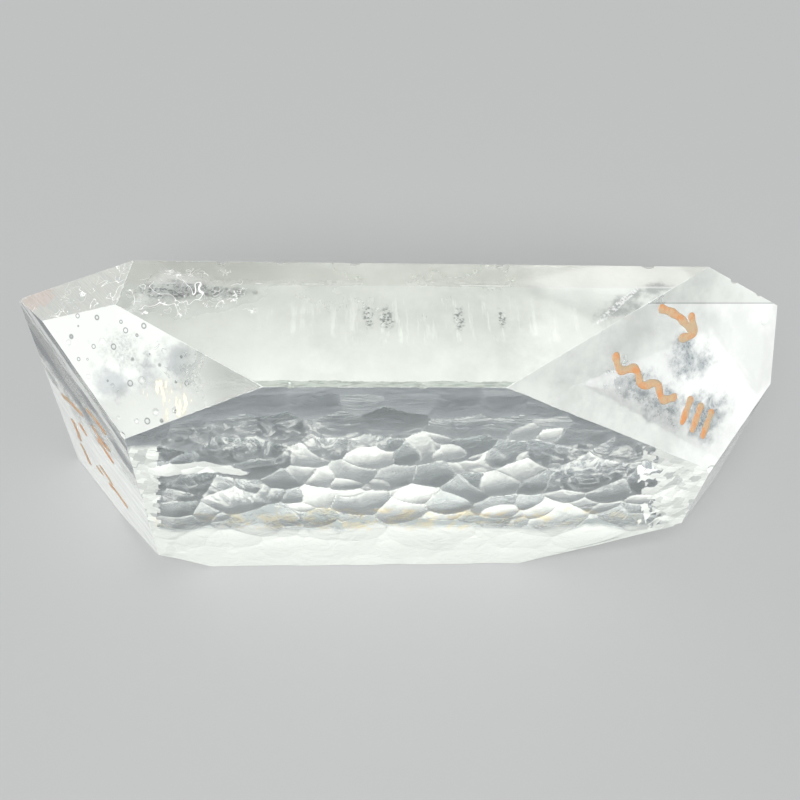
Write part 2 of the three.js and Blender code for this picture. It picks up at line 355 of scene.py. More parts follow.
def cut_flat(mesh, normal, distance):
    """Cuts away what lies outside one flat face, and closes the cut."""
    work = bmesh.new()
    work.from_mesh(mesh)
    parts = work.verts[:] + work.edges[:] + work.faces[:]
    cut = bmesh.ops.bisect_plane(
        work, geom=parts, dist=1e-7, plane_co=normal * distance * MM, plane_no=normal, clear_outer=True,
    )
    edges = [e for e in cut["geom_cut"] if isinstance(e, bmesh.types.BMEdge)]
    if edges:
        bmesh.ops.contextual_create(work, geom=edges)
    work.to_mesh(mesh)
    work.free()


def ledge_block(name, ledges):
    """A closed block with one face's ledges in front: a saw-tooth profile carried along a level path.

    Each tooth rises slowly to the face's plane over its pitch, and drops by its own share of the rise
    within the ease.
    """
    normal, distance = planes()[name]
    seed = STEPPED_FACES[name][3]
    level = Vector((0, 0, 1)).cross(normal).normalized()
    up_face = normal.cross(level)
    reach = ledges.reach
    profile = [(-reach / 2, distance - reach), (-reach / 2, distance), (ledges.bottom, distance)]
    x = ledges.bottom
    step = 0
    while x < ledges.top:
        luck = chance(1000 * seed + step * 2 + np.arange(2))
        profile.append((x, distance - ledges.rise * (1 - ledges.vary * luck[0])))
        x += ledges.pitch * (1 - ledges.vary * luck[1])
        profile.append((x, distance))
        x += ledges.ease
        step += 1
    profile += [(reach / 2, distance), (reach / 2, distance - reach)]
    points = np.array(profile)
    section = np.outer(points[:, 0], up_face) + np.outer(points[:, 1], normal)
    ends = [section + np.array(level) * s * reach / 2 for s in (-1, 1)]
    count = len(points)
    ring = np.arange(count)
    sides = np.stack([ring, np.roll(ring, -1), np.roll(ring, -1) + count, ring + count], -1).tolist()
    mesh = new_mesh(name, np.concatenate(ends), sides + [ring[::-1].tolist(), (ring + count).tolist()])
    work = bmesh.new()
    work.from_mesh(mesh)
    bmesh.ops.recalc_face_normals(work, faces=work.faces[:])
    work.to_mesh(mesh)
    work.free()
    return mesh


def ball(middle, radius, stretch, turn):
    """A closed ball's places and faces: it's stretched along x, and then turned about z."""
    rings, steps = 9, 18
    polar = np.linspace(0, np.pi, rings + 2)[1:-1]
    polar, azimuth = np.meshgrid(polar, np.arange(steps) * 2 * np.pi / steps, indexing="ij")
    x, y, z = np.sin(polar) * np.cos(azimuth) * stretch, np.sin(polar) * np.sin(azimuth), np.cos(polar)
    cos, sin = math.cos(turn), math.sin(turn)
    places = np.stack([x * cos - y * sin, x * sin + y * cos, z], -1)
    places = np.concatenate([places.reshape(-1, 3), [[0, 0, 1], [0, 0, -1]]]) * radius + np.array(middle)
    index = np.arange(rings * steps).reshape(rings, steps)
    following = np.roll(index, -1, axis=1)
    walls = np.stack([index[:-1], index[1:], following[1:], following[:-1]], -1).reshape(-1, 4).tolist()
    north, south = rings * steps, rings * steps + 1
    caps = [[north, here, there] for here, there in zip(index[0], following[0])]
    caps += [[south, there, here] for here, there in zip(index[-1], following[-1])]
    return places, walls + [[int(i) for i in c] for c in caps]


def joined_mesh(name, parts):
    """One mesh from several lists of places in mm and faces."""
    starts = np.cumsum([0] + [len(places) for places, _ in parts])
    faces = [[i + start for i in f] for (_, skin), start in zip(parts, starts.tolist()) for f in skin]
    return new_mesh(name, np.concatenate([places for places, _ in parts]), faces)


def on_plane(face, place):
    """The point of a face's plane straight in front of or behind a place given as x and z, in mm."""
    normal, distance = planes()[face]
    x, z = place
    return Vector((x, (distance - normal.x * x - normal.z * z) / normal.y, z))


def smooth_path(corners, steps=10):
    """A smooth line through a few points: each stretch is a cubic whose ends head along its neighbours."""
    before = np.concatenate([[2 * corners[0] - corners[1]], corners[:-1]])
    after = np.concatenate([corners[1:], [2 * corners[-1] - corners[-2]]])
    heading = (after - before) / 2
    t = np.linspace(0, 1, steps, endpoint=False)[:, None, None]
    a, b, ha, hb = corners[:-1], corners[1:], heading[:-1], heading[1:]
    line = (2 * t**3 - 3 * t**2 + 1) * a + (t**3 - 2 * t**2 + t) * ha
    line = line + (3 * t**2 - 2 * t**3) * b + (t**3 - t**2) * hb
    return np.concatenate([line.transpose(1, 0, 2).reshape(-1, 2), corners[-1:]])


def flat_bead(path, width, thickness):
    """A low bead of ink along a flat path: a half-ellipse carried along it, closed underneath.

    Its half-width follows the pen's round tip at both ends: sqrt(r^2 - (r - s)^2) at a distance s from
    the end.
    """
    run = np.concatenate([[0], np.cumsum(np.linalg.norm(np.diff(path, axis=0), axis=1))])
    count = max(8, int(run[-1] / BEAD_STEP))
    half = width / 2
    s = run[-1] * (1 - np.cos(np.linspace(0, np.pi, count))) / 2
    line = np.stack([np.interp(s, run, path[:, k]) for k in (0, 1)], -1)
    heading = np.gradient(line, axis=0)
    heading /= np.linalg.norm(heading, axis=1)[:, None]
    side = np.stack([-heading[:, 1], heading[:, 0]], -1)
    ends = np.minimum(np.minimum(s, run[-1] - s), half)
    reach = np.sqrt(half**2 - (half - ends)**2) * (1 + WAVER * np.sin(s * WAVER_PACE))
    reach = np.maximum(reach, LEAST_HALF)
    angle = np.linspace(0, np.pi, 9)
    across = np.cos(angle)[None, :, None] * reach[:, None, None] * side[:, None, :]
    flat = line[:, None, :] + across
    rise = np.sin(angle)[None, :] * thickness * (reach / half)[:, None]
    places = np.concatenate([flat, rise[..., None]], -1)
    rows, columns = places.shape[:2]
    index = np.arange(rows * columns).reshape(rows, columns)
    following = np.roll(index, -1, axis=1)
    skin = np.stack([index[:-1], following[:-1], following[1:], index[1:]], -1).reshape(-1, 4).tolist()
    return places.reshape(-1, 3), skin + [index[0, ::-1].tolist(), index[-1].tolist()]


def combine(piece, tool_mesh, operation):
    """Joins or cuts the piece with a tool mesh, and keeps only the result."""
    tool = link("tool", tool_mesh)
    change = piece.modifiers.new("tool", "BOOLEAN")
    change.operation = operation
    change.object = tool
    change.solver = "MANIFOLD"
    settled = piece.evaluated_get(bpy.context.evaluated_depsgraph_get())
    result = bpy.data.meshes.new_from_object(settled)
    piece.modifiers.clear()
    piece.data = result
    bpy.data.objects.remove(tool)


# ---- finishes ----------------------------------------------------------------


def add(near, kind, inputs=(), out=0, **settings):
    """Adds one shader node, with its settings and its inputs, and returns the output asked for.

    It goes into the tree that is given, or that the given socket is in. Inputs come in order, or by number
    or name. Each is another node's output to link, or a plain value to set.
    """
    tree = near.id_data
    node = tree.nodes.new("ShaderNode" + kind)
    for key, value in settings.items():
        setattr(node, key, value)
    for key, value in inputs.items() if isinstance(inputs, dict) else enumerate(inputs):
        if isinstance(value, bpy.types.NodeSocket):
            tree.links.new(value, node.inputs[key])
        else:
            node.inputs[key].default_value = value
    return node.outputs[out]


def make_material(name, finish, own):
    """A material from what its finish function gives for the inputs of the Principled shader.

    Patterns run on object coordinates in millimetres, so every scale is a real size.
    """
    material = bpy.data.materials.new(name)
    material.use_nodes = True
    tree = material.node_tree
    tree.nodes.clear()
    place = add(tree, "TexCoord", out="Object")
    mm = add(tree, "VectorMath", {0: place, "Scale": PER_METRE}, operation="SCALE")
    surface = add(tree, "BsdfPrincipled", finish(mm, own))
    tree.links.new(surface, tree.nodes.new("ShaderNodeOutputMaterial").inputs["Surface"])
    return material


def summed(base, *layers):
    """A base value with masks added to it, each times its own amount."""
    for mask, amount in layers:
        base = add(mask, "Math", (mask, amount, base), operation="MULTIPLY_ADD")
    return base


def strongest(base, *layers):
    """The highest of a base value and several masks, each times its own amount."""
    for mask, amount in layers:
        share = add(mask, "Math", (mask, amount), operation="MULTIPLY")
        base = add(mask, "Math", (base, share), operation="MAXIMUM")
    return base


def within(*masks):
    """Where all of several masks are high: their product."""
    both = masks[0]
    for mask in masks[1:]:
        both = add(both, "Math", (both, mask), operation="MULTIPLY")
    return both


def tinted(base, *layers):
    """A base colour covered by other colours where their masks are high; colours are sRGB codes."""
    tone = colour(base)
    for mask, code in layers:
        tone = add(mask, "Mix", {0: mask, 6: tone, 7: colour(code)}, 2, data_type="RGBA")
    return tone


def grain(mm, size, low, high, swirl=0.0):
    """A cloudy mask with features of the given size in mm: a noise taken smoothly from low to high."""
    noise = add(mm, "TexNoise", {"Vector": mm, "Scale": 1 / size, "Detail": 5.0, "Roughness": 0.6,
                                 "Distortion": swirl})
    return add(mm, "MapRange", (noise, low, high), **SMOOTH)


def streaks(mm, sizes, low, high, turn=(0, 0, 0)):
    """Streaks: the same noise stretched to sizes in mm along x, y and z, and turned, in degrees."""
    turns = [math.radians(t) for t in turn]
    stretched = add(mm, "Mapping", {"Vector": mm, "Rotation": turns, "Scale": sizes}, vector_type="TEXTURE")
    return grain(stretched, 1.0, low, high)


def beyond(mm, direction, low, high, stray=None, reach=0.0):
    """A mask that grows from 0 to 1 as the distance along a direction passes from low to high, in mm.

    The stray mask moves the border by up to half the reach either way, so that it runs unevenly.
    """
    along = add(mm, "VectorMath", (mm, direction), "Value", operation="DOT_PRODUCT")
    if stray is not None:
        along = add(mm, "Math", (stray, reach, along), operation="MULTIPLY_ADD")
        low, high = low + reach / 2, high + reach / 2
    return add(mm, "MapRange", (along, low, high), **SMOOTH)


def patches(mm, *spots, ragged=0.5, size=3.0, core=0.65):
    """Soft ragged spots as one mask, each given by its centre, half-widths in mm and turn in degrees.

    A spot is where the length of ((place - centre) / half-widths), roughened by a noise, is under about 1.
    It fades from the core, a share of its half-widths, outwards.
    """
    stray = grain(mm, size, 0.25, 0.75)
    total = 0.0
    for centre, reach, *turn in spots:
        turns = [math.radians(t) for t in turn[0]] if turn else (0, 0, 0)
        local = add(mm, "Mapping", {"Vector": mm, "Location": centre, "Rotation": turns, "Scale": reach},
                    vector_type="TEXTURE")
        away = add(mm, "VectorMath", (local,), "Value", operation="LENGTH")
        away = add(mm, "Math", (stray, ragged, away), operation="MULTIPLY_ADD")
        spot = add(mm, "MapRange", (away, core + ragged / 2, 1.05 + ragged / 2, 1.0, 0.0), **SMOOTH)
        total = add(mm, "Math", (total, spot), operation="MAXIMUM")
    return total


def on_front(x, z, reach_x, reach_z, turn=0):
    """A spot on the cobbled face, for patches: its place and half-widths along x and z, and its turn."""
    return (x, FRONT, z), (reach_x, FRONT_REACH, reach_z), (0, turn, 0)


def on_top(x, y, reach_x, reach_y, turn=0):
    """A spot on the top side, for patches: its place and half-widths along x and y, and its turn."""
    return (x, y, TOP), (reach_x, reach_y, TOP_REACH), (0, 0, turn)


def contour(mm, spacing, width, swirl=0.6):
    """Thin looping lines, as drying fluid leaves: where a slow noise crosses its middle value."""
    noise = add(mm, "TexNoise", {"Vector": mm, "Scale": 1 / spacing, "Detail": 2.0, "Distortion": swirl})
    off = add(mm, "Math", (noise, 0.5), operation="SUBTRACT")
    away = add(mm, "Math", (off,), operation="ABSOLUTE")
    return add(mm, "MapRange", (away, width * 0.3, width, 1.0, 0.0), **SMOOTH)


def droplets(mm, spacing, radius):
    """Small round marks, as drops leave: a ring round a random point in most cells, spaced in mm."""
    away = add(mm, "TexVoronoi", {"Vector": mm, "Scale": 1 / spacing})
    chances = add(mm, "SeparateColor", (away.node.outputs["Color"],))
    radius = add(mm, "Math", (chances, radius * 0.65, radius * 0.35), operation="MULTIPLY_ADD")
    away = add(mm, "Math", (away, spacing), operation="MULTIPLY")
    away = add(mm, "Math", (away, radius), operation="DIVIDE")
    inner = add(mm, "MapRange", (away, 0.55, 0.85), **SMOOTH)
    outer = add(mm, "MapRange", (away, 0.95, 1.25, 1.0, 0.0), **SMOOTH)
    there = add(mm, "Math", (chances.node.outputs["Green"], 0.35), operation="GREATER_THAN")
    return within(inner, outer, there)


def blocks(mm, sizes, tilt):
    """Square-edged blocks: each cell of a box-wise nearest-point pattern has its own chance."""
    stretched = add(mm, "Mapping", {"Vector": mm, "Rotation": (0, math.radians(tilt), 0), "Scale": sizes},
                    vector_type="TEXTURE")
    cell = add(mm, "TexVoronoi", {"Vector": stretched, "Scale": 1.0}, "Color", distance="CHEBYCHEV")
    return add(mm, "SeparateColor", (cell,))


def growth_rings(mm, centre, reach, count):
    """Oval growth lines round a centre: where the sine of the roughened distance from it is high."""
    local = add(mm, "Mapping", {"Vector": mm, "Location": centre, "Scale": reach}, vector_type="TEXTURE")
    away = add(mm, "VectorMath", (local,), "Value", operation="LENGTH")
    away = add(mm, "Math", (grain(mm, 7, 0.25, 0.75, 0.6), 0.35, away), operation="MULTIPLY_ADD")
    turns = add(mm, "Math", (away, count * 2 * math.pi), operation="MULTIPLY")
    line = add(mm, "MapRange", (add(mm, "Math", (turns,), operation="SINE"), 0.1, 1.0), **SMOOTH)
    return within(line, add(mm, "MapRange", (away, 0.95, 1.3, 1.0, 0.0), **SMOOTH))


def edge_wear_and_highlight(mm, own):
    """Bruised edges with painted highlights: 1 within a fraction of a millimetre of any neighbouring face,
    broken up by a grain.
    """
    nearest = 1e3
    for name, (normal, distance) in planes().items():
        if name != own:
            along = add(mm, "VectorMath", (mm, normal), "Value", operation="DOT_PRODUCT")
            gap = add(mm, "Math", (distance, along), operation="SUBTRACT")
            nearest = add(mm, "Math", (nearest, gap), operation="MINIMUM")
    reach = summed(WEAR_AND_HIGHLIGHT_LEAST, (grain(mm, 1.4, 0.45, 0.8), WEAR_AND_HIGHLIGHT_EXTRA))
    away = add(mm, "Math", (nearest, reach), operation="DIVIDE")
    return add(mm, "MapRange", (away, 0.5, 1.0, 1.0, 0.0), **SMOOTH)


def quartz(mm, own, haze, tint, roughness, height, strength):
    """Clear crystal with bruised edges, whose white is partly painted highlight, under a face's own haze,
    colour, gloss and relief.

    The haze is the share of light that the surface scatters. The height is in mm.
    """
    wear_and_highlight = edge_wear_and_highlight(mm, own)
    # Painted highlight: the white along the edges is partly real bruising and partly the thin light that
    # sharp edges catch.
    haze = strongest(haze, (wear_and_highlight, 0.4))
    bump = add(mm, "Bump", {"Strength": strength, "Distance": MM, "Height": height})
    return {"IOR": QUARTZ_IOR, "Roughness": roughness, "Normal": bump,
            "Base Color": add(mm, "Mix", {0: wear_and_highlight, 6: tint, 7: colour("#ffffff")}, 2, data_type="RGBA"),
            "Transmission Weight": add(mm, "Math", (1.0, haze), operation="SUBTRACT")}


def cobbled_finish(mm, own):
    """The cobbled growth face: clear, each cobble of its own tone, with smoky veils and pale borders.

    Fine level striations run under its top edge, one pale slab lies on the left, and both ends carry bright
    blocky strips. Its foot is frosted. Painted light: cobbles are painted to scatter more where they face up
    and near their borders, and the pale borders are painted highlights along the grooves.
    """
    tone, border, lead = (add(mm, "Attribute", out="Fac", attribute_name=name)
                          for name in ("tone", "border", "lead"))
    smoke = grain(mm, 6.2, 0.43, 0.64, 2.2)
    level = streaks(mm, (7.0, 7.0, 0.45), 0.48, 0.62)
    upper = beyond(mm, ALONG_Z, 66, 74)
    smoky = patches(mm, on_front(-30, 66, 30, 10), on_front(48, 56, 20, 11), on_front(-46, 42, 17, 8),
                    core=0.4)
    first, *others = [(growth_rings(mm, (x, FRONT, z), (reach_x, RING_REACH, reach_z), count), strength)
                      for x, z, reach_x, reach_z, count, strength in GROWTH_LINES]
    rings = strongest(first[0], *others)
    # Painted light: a cobble is painted to scatter more where its normal faces up and to the left, and near
    # its borders, as light from above would fall on it.
    faces_up_painted_light = beyond(add(mm, "NewGeometry", out="Normal"), (-0.3, 0, 0.95), -0.16, 0.24)
    cell = within(tone, add(mm, "MapRange", (lead, 0.0, 1.3, 1.2, 0.8)),
                  add(mm, "MapRange", (faces_up_painted_light, 0.0, 1.0, 0.5, 1.5)),
                  add(mm, "MapRange", (grain(mm, 9.0, 0.3, 0.7, 1.5), 0.0, 1.0, 0.8, 1.2)))
    # Both ends carry bright blocky strips: raised haze whose ragged inner edge and strength follow blocks of
    # chance, below about 64 mm.
    right_blocks = blocks(mm, (2.3, 9, 2.8), 20)
    left_blocks = blocks(mm, (3.0, 9, 1.6), 0)
    right_end = beyond(mm, (1, 0, 0.27), 73.6, 74.0, right_blocks, 7.0)
    left_end = beyond(mm, (-1, 0, 0.14), 65.6, 65.9, left_blocks, 1.6)
    ends = within(strongest(right_end, (left_end, 1.0)), beyond(mm, (0, 0, -1), -66, -62))
    end_strip_haze = summed(0.38, (right_blocks, 0.36), (level, 0.04))
    foot = beyond(mm, (0, 0, -1), -28, -20, lead, 3.5)
    slab = patches(mm, on_front(-49.5, 52.8, 12.5, 3.0, 6), ragged=0.35, size=4.0, core=0.9)
    joined = add(mm, "MapRange", (tone, 0.01, 0.1))
    tiles = within(level, upper, joined)
    # Painted light: below the tile rows, upward-facing cobbles get a little more haze, as if sunlit.
    sunny = within(faces_up_painted_light, add(mm, "Math", (1.0, upper), operation="SUBTRACT"))
    # Painted highlight: thin pale lines along the grooves between cobbles, as light caught on the steep
    # groove walls.
    lines = within(border, grain(mm, 6.2, 0.35, 0.6, 2.2), add(mm, "MapRange", (upper, 0, 1, 1, 0.3)),
                   add(mm, "MapRange", (foot, 0, 1, 1, 0)))
    haze = summed(0.0, (cell, 1.0), (tiles, 0.22), (within(smoke, smoky), 0.34), (smoke, 0.03),
                  (within(rings, grain(mm, 5.0, 0.2, 0.6)), 0.22), (lines, 0.18), (sunny, 0.07))
    haze = strongest(haze, (within(ends, end_strip_haze), 1.0), (foot, 0.56), (slab, 0.7))
    haze = add(mm, "Math", (haze, 0.74), operation="MINIMUM")
    cream = within(patches(mm, on_front(0, 28, 66, 6)), grain(mm, 3.4, 0.46, 0.62))
    pale = add(mm, "MapRange", (haze, 0.0, 0.5))
    height = summed(0.0, (tiles, 0.05), (grain(mm, 5.0, 0.2, 0.8, 1.5), 0.22))
    return quartz(mm, own, haze, tinted("#ccd8e0", (pale, "#f6f9f4"), (cream, "#fbefcf")),
                  within(smoke, smoky, 0.12), height, 0.7)


def top_finish(mm, own):
    """The top side: milky, streaked across, with an etched patch, loops of dried fluid and dark smudges.

    Its front lip is a strip of short level sparkles, and a dark streak with white specks crosses its right
    end. Near the back lies a painted reflection of the back edge: a slightly greyer band with a thin white
    line along its front edge.
    """
    speckle = grain(mm, 0.7, 0.42, 0.58)
    dashes = streaks(mm, (3.0, 0.5, 0.5), 0.42, 0.62)
    lip = beyond(mm, (0, -1, 0), 15.6, 15.9, grain(mm, 3.0, 0.3, 0.7), 0.5)
    across = within(streaks(mm, (1.8, 14.0, 14.0), 0.5, 0.66), patches(mm, on_top(6, 1, 44, 7)))
    etched = patches(mm, on_top(-52, 9.0, 10.0, 2.8), on_top(-42, 8.4, 8, 1.8))
    loops = within(strongest(contour(mm, 7.0, 0.009), (contour(mm, 3.6, 0.012, 1.2), 0.6)),
                   patches(mm, on_top(-52, 7.2, 13, 6.2)))
    star = within(contour(mm, 4.0, 0.018, 2.0), patches(
        mm, on_top(-38.7, 8.6, 2.6, 4.0), on_top(-36, 4.0, 2, 2.5), on_top(-47, 14.0, 9, 1.6)))
    smudge = within(speckle, patches(
        mm, on_top(-9.6, 1.8, 1.5, 4.6), on_top(-5.6, 1.0, 2.2, 4.2), on_top(10.5, 1.4, 1.6, 4.5),
        on_top(20, 1.4, 1.4, 3.4), ragged=0.4, size=1.5, core=0.4))
    # Painted reflection: near the back a slightly greyer, less hazy band with a thin white line along its
    # front edge, painting the back face's top edge as seen mirrored inside the top.
    reflected_back_band = beyond(mm, ALONG_Y, 10.3, 10.7, grain(mm, 20, 0.3, 0.7), 0.4)
    line = within(reflected_back_band, beyond(mm, (0, -1, 0), -11.3, -10.9), grain(mm, 7, 0.3, 0.6))
    left = within(beyond(mm, (-1, 0, 0), 12, 48), beyond(mm, ALONG_Y, -2, 8))
    right = beyond(mm, ALONG_X, 22, 34, grain(mm, 14, 0.3, 0.7), 8.0)
    streak = patches(mm, on_top(50.5, 6.6, 13, 3.4, 30), core=0.5)
    specks = within(patches(mm, on_top(46.5, 5.0, 11, 0.9, 44)), speckle)
    dark = strongest(within(etched, summed(0.35, (speckle, 0.65))), (smudge, 1.0),
                     (within(lip, dashes), 0.45), (within(streak, grain(mm, 4.0, 0.25, 0.6)), 0.7))
    white = strongest(loops, (star, 1.0), (specks, 0.7), (line, 0.4))
    haze = summed(0.26, (grain(mm, 22, 0.3, 0.7), 0.08), (across, 0.08), (right, 0.14), (dark, 0.2),
                  (beyond(mm, (0, -1, 0), -2, 14), 0.06), (reflected_back_band, -0.02), (left, -0.07))
    haze = strongest(haze, (white, 0.8), (lip, 0.5))
    tint = tinted("#f6f9f3", (reflected_back_band, "#f2f3ec"), (lip, "#bfc6be"), (within(dark, 0.85), "#50565a"),
                  (white, "#ffffff"))
    return quartz(mm, own, haze, tint, within(across, 0.04), grain(mm, 3, 0.3, 0.7), 0.03)


def pitted_finish(mm, own):
    """The pitted rhomb: frosted white, with a speckled cloud, a grey veil and short warm streaks."""
    speckle = grain(mm, 0.8, 0.3, 0.7)
    cloud = within(patches(mm, ((-62, -3.5, 81), (9, 6, 5)), ragged=1.0, core=0.2), speckle)
    veil = patches(mm, ((-65, -8.2, 75.5), (8, 5, 4.5)), ((-56, -8.8, 80), (9, 4.5, 3.6)),
                   ((-51, -9, 83.5), (10, 5.5, 6)), ragged=1.0, size=6.0, core=0.0)
    warm = within(streaks(mm, (1.5, 8, 8), 0.46, 0.57), patches(mm, ((-54, -13.5, 77), (10, 4.5, 6))))
    thin = beyond(mm, ALONG_X, -54, -38, grain(mm, 14, 0.2, 0.8), 4.0)
    lower = within(beyond(mm, (0, -1, 0), 8, 11, grain(mm, 8, 0.3, 0.7), 2.0),
                   add(mm, "Math", (1.0, thin), operation="SUBTRACT"))
    rings = within(droplets(mm, 3.6, 0.8), beyond(mm, (-1, 0, 0), 44, 50))
    scratch = within(contour(mm, 3.0, 0.03, 1.0),
                     patches(mm, ((-52, -9.4, 83.2), (2.6, 3, 3)), ((-55, -6.2, 85.5), (2, 2.4, 2.4))))
    haze = summed(0.49, (thin, -0.32), (veil, -0.09), (lower, -0.13))
    haze = strongest(haze, (warm, 0.6), (scratch, 0.6))
    tint = tinted("#f9fbf8", (within(veil, 0.5), "#aab4ba"), (within(cloud, 0.4), "#7f888c"),
                  (within(strongest(rings, (scratch, 0.7)), 0.75), "#7d8284"), (warm, "#fff6e0"))
    return quartz(mm, own, haze, tint, summed(0.05, (speckle, 0.15)), speckle, 0.06)


# On the clear rhomb: a point of its fine line and the way the line runs, and the middle and half-widths of
# its crinkled corner, in mm.
MOTTLED_LINE = ((55.1, 6.3, 87.2), (36.9, 11.1, -13.0))
CRINKLED = ((74.0, -8.0, 62.0), (9, 8, 9))


def mottled_finish(mm, own):
    """The clear rhomb: white, with grey mottled windows where the frosting thins, and one fine line."""
    spots = patches(mm, ((67, 0.5, 74.5), (9, 6, 7)), ((56, -8.5, 73), (15, 5, 7), (0, 35, 0)),
                    ((71, -8, 63), (9, 6, 8)), ragged=1.0, size=5.0, core=0.2)
    grey = within(spots, summed(0.25, (grain(mm, 3.4, 0.3, 0.65), 0.55), (grain(mm, 0.8, 0.45, 0.65), 0.3)))
    across = planes()[own][0].cross(Vector(MOTTLED_LINE[1])).normalized()
    height = across.dot(Vector(MOTTLED_LINE[0]))
    above = beyond(mm, across, height, height + 0.1)
    line = within(above, beyond(mm, -across, -height - 0.5, -height - 0.3))
    crinkled = patches(mm, CRINKLED, ragged=0.9, size=5.0, core=0.2)
    crinkles = within(contour(mm, 7.0, 0.03, 1.4), crinkled, 0.5)
    outer = beyond(mm, ALONG_X, 50, 82, grain(mm, 14, 0.2, 0.8), 10.0)
    haze = summed(0.27, (outer, 0.24), (grain(mm, 13, 0.35, 0.65), 0.1), (grey, -0.12), (above, -0.04),
                  (crinkled, -0.1))
    haze = strongest(haze, (crinkles, 0.8))
    tint = tinted("#f9fbf9", (within(crinkled, 0.5), "#c0c7c8"), (within(grey, 0.85), "#7f8b92"),
                  (crinkles, "#ffffff"), (within(above, 0.5), "#dcdfda"), (within(line, 0.4), "#7a8285"))
    return quartz(mm, own, haze, tint, summed(0.03, (grey, 0.09)), grain(mm, 13, 0.3, 0.7), 0.05)


def striated_finish(mm, own):
    """The narrow upper prism face: beige grey, finely striated across its edge, with white scribbles."""
    lines = streaks(mm, (0.5, 9, 9), 0.42, 0.62, (0, 0, 35))
    scribble = within(contour(mm, 5.0, 0.015, 1.5), grain(mm, 9, 0.42, 0.56))
    blush = patches(mm, ((-86, 15, 77), (6, 4, 4)))
    haze = strongest(summed(0.42, (lines, 0.18)), (scribble, 0.8))
    tint = tinted("#e9e9e2", (lines, "#c6c9c7"), (within(blush, 0.35), "#e6c0b4"), (scribble, "#ffffff"))
    return quartz(mm, own, haze, tint, summed(0.1, (lines, 0.15)), lines, 0.12)


# How the drifts on the stepped rhombs are turned, in degrees, to run along each one's upper edge.
DRIFT_TURN = {"left_rhomb": (0, 19.8, -51.9), "right_rhomb": (0, 19.8, 51.9)}


def stepped_finish(mm, own):
    """The stepped end rhombs: white below, clear above between soft grey streaks along the ledges."""
    drifts = streaks(mm, (36, 3.6, 7.0), 0.46, 0.56, DRIFT_TURN[own])
    low = beyond(mm, (0, 0, -1), -58, -38, grain(mm, 9, 0.3, 0.7), 14.0)
    drifts = within(drifts, add(mm, "Math", (1.0, low), operation="SUBTRACT"))
    beams = streaks(mm, (40, 3.0, 6.5), 0.5, 0.6, DRIFT_TURN[own])
    haze = strongest(summed(0.08, (drifts, 0.34), (low, 0.62)), (beams, 0.5))
    tint = tinted("#f8faf7", (drifts, "#747880"), (beams, "#f1f3f1"))
    return quartz(mm, own, haze, tint, summed(0.03, (drifts, 0.12)), grain(mm, 4, 0.3, 0.7), 0.06)


def side_finish(mm, own):
    """The small side faces: nearly clear, with a thin even frosting."""
    cloud = grain(mm, 8, 0.35, 0.65)
    return quartz(mm, own, summed(0.1, (cloud, 0.22)), tinted("#ffffff", (cloud, "#eff2ef")),
                  summed(0.02, (cloud, 0.1)), cloud, 0.05)


def polished_finish(mm, own):
    """The polished back face: plain clear quartz, so that what lies behind is seen through it."""
    return {"Base Color": colour("#ffffff"), "IOR": QUARTZ_IOR, "Roughness": 0.0, "Transmission Weight": 1.0}


def ground_finish(mm, own):
    """The ground underside: fine-ground quartz scatters nearly all light, so it reads as soft white."""
    tint = tinted("#fefffc", (grain(mm, 9, 0.35, 0.7), "#e8ece5"), (grain(mm, 1.3, 0.62, 0.72), "#fffdf0"))
    return {"Base Color": tint, "IOR": QUARTZ_IOR, "Roughness": 0.6, "Transmission Weight": 0.06}


def ink_finish(mm, own):
    """Dried paint-pen ink: thin and glossy, deep orange where the pen stopped and pale where it ran dry."""
    load = grain(mm, 3.5, 0.36, 0.64)
    return {"Base Color": tinted("#c98e5f", (load, "#dcc4a2")), "IOR": 1.5, "Roughness": 0.35,
            "Transmission Weight": summed(0.15, (load, 0.35))}


def paper_finish(mm, own):
    """Matt studio paper for the floor, even and pale."""
    return {"Base Color": (*bpy.context.scene.quartz_studio.floor_colour, 1), "Roughness": 0.6}


# ---- what a user would change ------------------------------------------------


def setting(name, description, default, **limits):
    """A number that a user can change. Its description ends with its unit, where it has one."""
    return FloatProperty(name=name, description=description, default=default, **limits)


class CrystalSettings(bpy.types.PropertyGroup):
    """How finely the crystal's surface is worked out."""
    grid: setting("Grid", "Spacing of the cobbled face's grid, mm", 0.36, min=0.2)
    fine_left: setting("Left", "Where the fine grid starts, mm", -70.0)
    fine_right: setting("Right", "Where the fine grid ends, mm", 80.0)
    smooth: setting("Crease", "Edges sharper than this stay sharp", math.radians(6), subtype="ANGLE")


